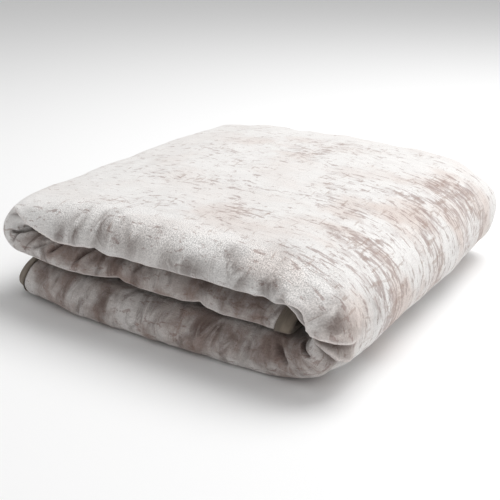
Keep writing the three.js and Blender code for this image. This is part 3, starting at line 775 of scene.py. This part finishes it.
def plush_print(graph, place):
    """The mottled print: blush clouds and a mauve haze, small flecks along and strokes across, an umber
    wash and dusky clouds on the shaded fronts that are part print and part painted shade, dusky smudges of
    print with some painted shade, then painted highlight along edges and painted shade in creases and under
    edges."""
    cloud = graph.ramp(graph.noise(place, 90, 70, detail=4.0, shift=3.1), 0.42, 0.64)
    blush = graph.times(cloud, graph.plus(graph.share("fleck"), 0.2))
    clusters = graph.ramp(graph.noise(place, 85, 60, detail=3.0, shift=11.7), 0.42, 0.68)
    flecky = graph.times(graph.share("fleck"), graph.ramp(clusters, 0.0, 1.0, 0.55, 1.0))
    haze = graph.ramp(graph.noise(place, 24, 18, detail=5.0, shift=19.0, rough=0.66), 0.47, 0.66)
    hazed = graph.times(haze, graph.plus(flecky, graph.times(clusters, 0.2)))
    nearer = graph.plus(graph.times(flecky, 0.1), graph.times(clusters, 0.06))
    along = graph.noise(place, 17, 5.5, detail=5.0, shift=5.3, rough=0.68, warp=0.3)
    flecks = graph.ramp(graph.plus(along, nearer), 0.61, 0.7)
    crossing = graph.noise(place, 6.5, 28, detail=5.0, shift=7.9, rough=0.65, warp=0.3)
    strokes = graph.ramp(graph.plus(crossing, graph.times(nearer, 0.8)), 0.64, 0.76)
    # An umber wash on the fronts of the two lower runs, part print and part painted shade.
    mottled = graph.noise(place, 52, 40, detail=4.0, shift=17.0, rough=0.6, warp=0.3)
    wash_and_shade = graph.times(graph.share("front_shade_and_print"), graph.ramp(mottled, 0.34, 0.66, 0.2, 0.8))
    # Dusky smudges: print where the smudge patches lie, with painted shade where some lie in the hollow
    # beside the inner tape, and dusky clouds on the fronts that are part print and part painted shade.
    tangle = graph.noise(place, 17, 24, detail=5.0, shift=31.0, rough=0.62, warp=0.4)
    patchy = graph.times(graph.share("smudge_and_shade"), graph.ramp(tangle, 0.3, 0.62, 0.2, 1.0))
    cloudy = graph.times(graph.share("front_shade_and_print"), graph.ramp(tangle, 0.46, 0.7, 0.0, 0.6))
    smudge_and_shade = graph.math("MAXIMUM", patchy, cloudy)
    colour = graph.blend(graph.times(blush, 0.55), GROUND, BLUSH)
    colour = graph.blend(graph.times(hazed, 0.34), colour, MAUVE)
    colour = graph.blend(graph.times(flecks, 0.6), colour, MAUVE)
    colour = graph.blend(graph.times(strokes, 0.5), colour, TAUPE)
    colour = graph.blend(wash_and_shade, colour, UMBER_PRINT_AND_SHADE)
    colour = graph.blend(smudge_and_shade, colour, DUSK_PRINT_AND_SHADE)
    # Painted highlight along the edges of the rolls and front folds.
    colour = graph.blend(graph.times(graph.share("painted_highlight"), 0.75), colour, PAINTED_HIGHLIGHT_TINT)
    # Painted shade in the creases and under the edges of the rolls and front folds.
    return graph.blend(graph.times(graph.share("painted_shade"), 0.72), colour, DUSK_PRINT_AND_SHADE)


def plush_material():
    """The print on a napped face: combed one way, fine grained, and opened where a front fold bends it."""
    graph = Graph("plush", 0.85)
    place = graph.flat()
    combing = graph.noise(place, 40, 1.8, detail=3.0, shift=41.0)
    grain = graph.noise(place, 1.4, 1.2, detail=3.0, shift=53.0, rough=0.7)
    shade = graph.ramp(combing, 0.3, 0.7, 0.96, 1.04)
    fine = graph.ramp(grain, 0.3, 0.7, -0.10, 0.10)
    opened = graph.times(graph.ramp(grain, 0.32, 0.68, -0.22, 0.24), graph.share("open_nap"))
    value = graph.plus(shade, graph.plus(fine, opened))
    printed = [("Color", plush_print(graph, place)), ("Value", value)]
    colour = graph.node("ShaderNodeHueSaturation", printed).outputs[0]
    soft = graph.bump(graph.noise(place, 14, 9, detail=3.0, shift=61.0), 0.5, 1.6)
    nap = graph.noise(place, 1.9, 1.5, detail=3.0, shift=71.0, rough=0.7)
    graph.shader.inputs["Sheen Weight"].default_value = 0.35
    graph.shader.inputs["Sheen Roughness"].default_value = 0.4
    graph.shader.inputs["Sheen Tint"].default_value = (1, 0.97, 0.95, 1)
    graph.shader.inputs["Specular IOR Level"].default_value = 0.12
    return graph.finish(colour, graph.bump(nap, 0.6, 1.1, soft))


def tape_material():
    """Plain woven tape: fine ribs across it, a little uneven in shade, with darker sewing thread."""
    graph = Graph("binding_tape", 0.8)
    place = graph.flat()
    ribs = graph.node(
        "ShaderNodeTexWave",
        [("Vector", place), ("Scale", 0.42), ("Distortion", 1.2), ("Detail", 1.0)],
        wave_type="BANDS", bands_direction="Y",
    ).outputs["Fac"]
    shade = graph.plus(graph.times(ribs, 0.35), graph.noise(place, 9, 26, detail=3.0, shift=83.0))
    colour = graph.blend(graph.ramp(shade, 0.35, 1.0), TAPE_DARK, TAPE_LIGHT)
    colour = graph.blend(graph.share("thread"), colour, THREAD)
    graph.shader.inputs["Sheen Weight"].default_value = 0.12
    graph.shader.inputs["Specular IOR Level"].default_value = 0.2
    return graph.finish(colour, graph.bump(ribs, 0.5, 0.25))


# The camera, where the photograph was taken from
CAMERA = {"azimuth": 31.78, "elevation": 20.36, "distance": 1241.4, "lens": 70.2}
AIM = {"z": 56.84, "right": -9.79, "up": -22.05}  # past the upright through the sizes' own zero


def make_camera():
    """The camera, aimed by moving the aim point sideways and up in its own view."""
    azimuth, elevation = math.radians(CAMERA["azimuth"]), math.radians(CAMERA["elevation"])
    level = Vector((math.sin(azimuth), -math.cos(azimuth), 0))
    back = level * math.cos(elevation) + Vector((0, 0, math.sin(elevation)))
    right = Vector((math.cos(azimuth), math.sin(azimuth), 0))
    up = back.cross(right)
    aim = Vector((-CENTRE[0], -CENTRE[1], AIM["z"])) + right * AIM["right"] + up * AIM["up"]
    place = Matrix((right, up, back)).transposed().to_4x4()
    place.translation = (aim + back * CAMERA["distance"]) * MM
    data = bpy.data.cameras.new("camera")
    data.lens = CAMERA["lens"]
    data.sensor_width = 36
    data.clip_end = 50
    camera = bpy.data.objects.new("camera", data)
    camera.matrix_world = place
    bpy.context.scene.collection.objects.link(camera)
    bpy.context.scene.camera = camera


LIGHTS_AIM = Vector((0, 0, 0.05))
FLOOR_HALF = 6  # half the floor's side, in metres


def area_light(name, place, size, power):
    """A square light in metres and watts, aimed at the middle of the stack."""
    data = bpy.data.lights.new(name, "AREA")
    data.size = size
    data.energy = power
    light = bpy.data.objects.new(name, data)
    light.location = place
    light.rotation_euler = (LIGHTS_AIM - Vector(place)).to_track_quat("-Z", "Y").to_euler()
    bpy.context.scene.collection.objects.link(light)


def make_stage():
    """A pale floor, an even white sky, a high soft light behind and a weak one on the right."""
    scene = bpy.context.scene
    scene.view_settings.view_transform = "Standard"
    world = bpy.data.worlds.new("studio")
    world.use_nodes = True
    world.node_tree.nodes["Background"].inputs["Color"].default_value = (1, 1, 1, 1)
    world.node_tree.nodes["Background"].inputs["Strength"].default_value = 0.5
    scene.world = world
    area_light("key", (0.45, 0.85, 2.05), 1.6, 42)
    area_light("right", (1.7, -0.1, 1.0), 1.0, 4)
    mesh = bpy.data.meshes.new("floor")
    corners = [(x * FLOOR_HALF, y * FLOOR_HALF, 0) for x, y in ((-1, -1), (1, -1), (1, 1), (-1, 1))]
    mesh.from_pydata(corners, [], [(0, 1, 2, 3)])
    mesh.materials.append(plain_material("floor_white", (0.9, 0.9, 0.9), 0.9))
    floor = bpy.data.objects.new("floor", mesh)
    scene.collection.objects.link(floor)


make_camera()
make_stage()
plush = plush_material()
tape = tape_material()
cloth = throw_cloth(plush)
lower_band = tape_band("lower_end_tape", 0, 1, tape)
inner_band = tape_band("inner_end_tape", STRIP.total, -1, tape)

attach(cloth, "root")
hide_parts("blanket")
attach(lower_band, "root")
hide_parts("binding_lower_end")
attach(inner_band, "root")
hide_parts("binding_inner_end")
